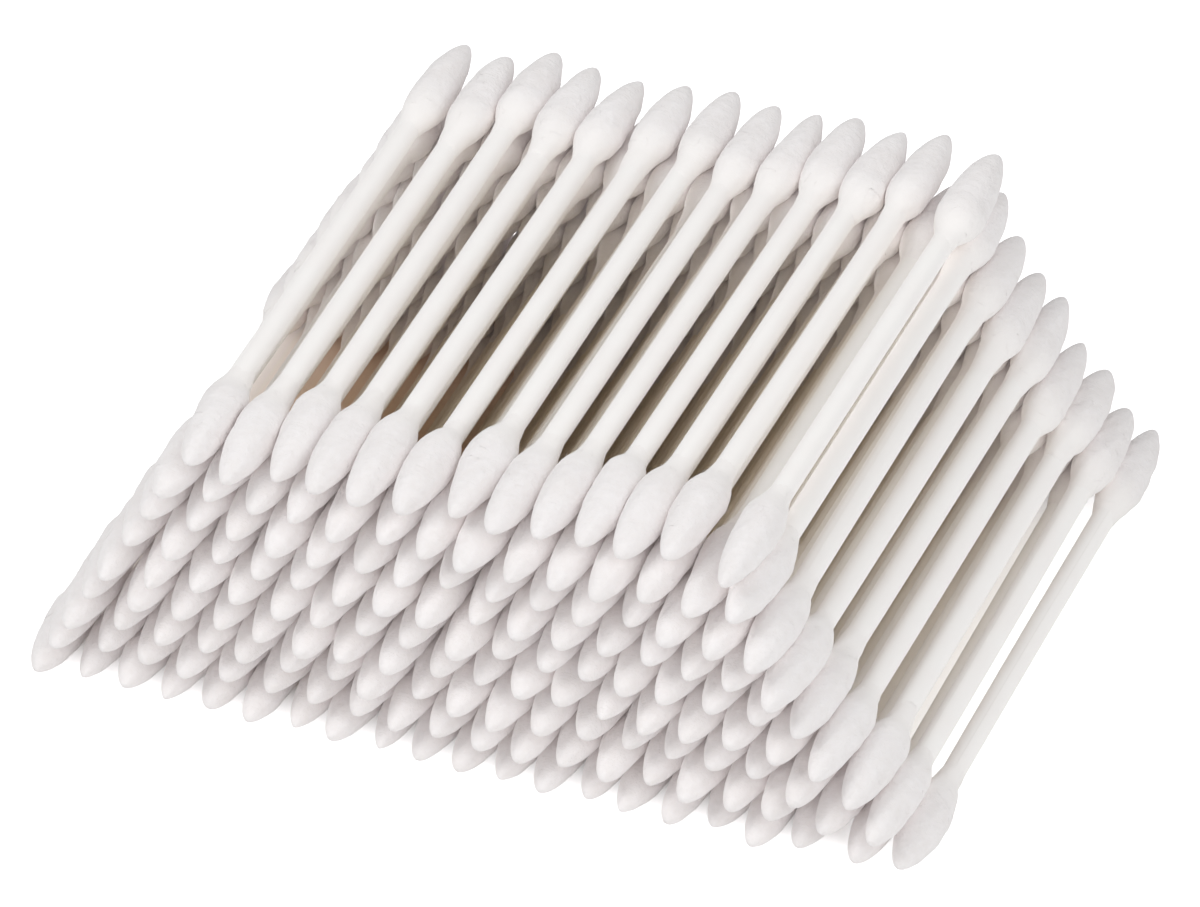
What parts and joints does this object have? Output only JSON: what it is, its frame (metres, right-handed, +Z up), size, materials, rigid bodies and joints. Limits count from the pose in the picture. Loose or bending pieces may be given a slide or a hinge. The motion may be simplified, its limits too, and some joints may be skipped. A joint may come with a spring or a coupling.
{
  "type": "stack of cotton swabs",
  "caption": "Stack of double-ended pointed cotton swabs on paper sticks, laid side by side in layers that nest like logs.",
  "frame": {"origin": "on the ground, under the middle of the stack's box", "axes": "+X along a layer, from swab to swab, +Y along the swabs from the front tips to the rear tips, +Z up"},
  "size_m": [0.1012, 0.0774, 0.0383],
  "materials": {
    "paper_stick": "smooth rolled white paper",
    "cotton": "wound bleached cotton, matt"
  },
  "bodies": {
    "root": {"layer_1_sticks": "paper_stick", "layer_1_front_tips": "cotton", "layer_1_rear_tips": "cotton", "layer_2_sticks": "paper_stick", "layer_2_front_tips": "cotton", "layer_2_rear_tips": "cotton", "layer_3_sticks": "paper_stick", "layer_3_front_tips": "cotton", "layer_3_rear_tips": "cotton", "layer_4_sticks": "paper_stick", "layer_4_front_tips": "cotton", "layer_4_rear_tips": "cotton", "layer_5_sticks": "paper_stick", "layer_5_front_tips": "cotton", "layer_5_rear_tips": "cotton", "layer_6_sticks": "paper_stick", "layer_6_front_tips": "cotton", "layer_6_rear_tips": "cotton", "layer_7_sticks": "paper_stick", "layer_7_front_tips": "cotton", "layer_7_rear_tips": "cotton", "layer_8_sticks": "paper_stick", "layer_8_front_tips": "cotton", "layer_8_rear_tips": "cotton", "layer_9_sticks": "paper_stick", "layer_9_front_tips": "cotton", "layer_9_rear_tips": "cotton"}
  },
  "joints": []
}
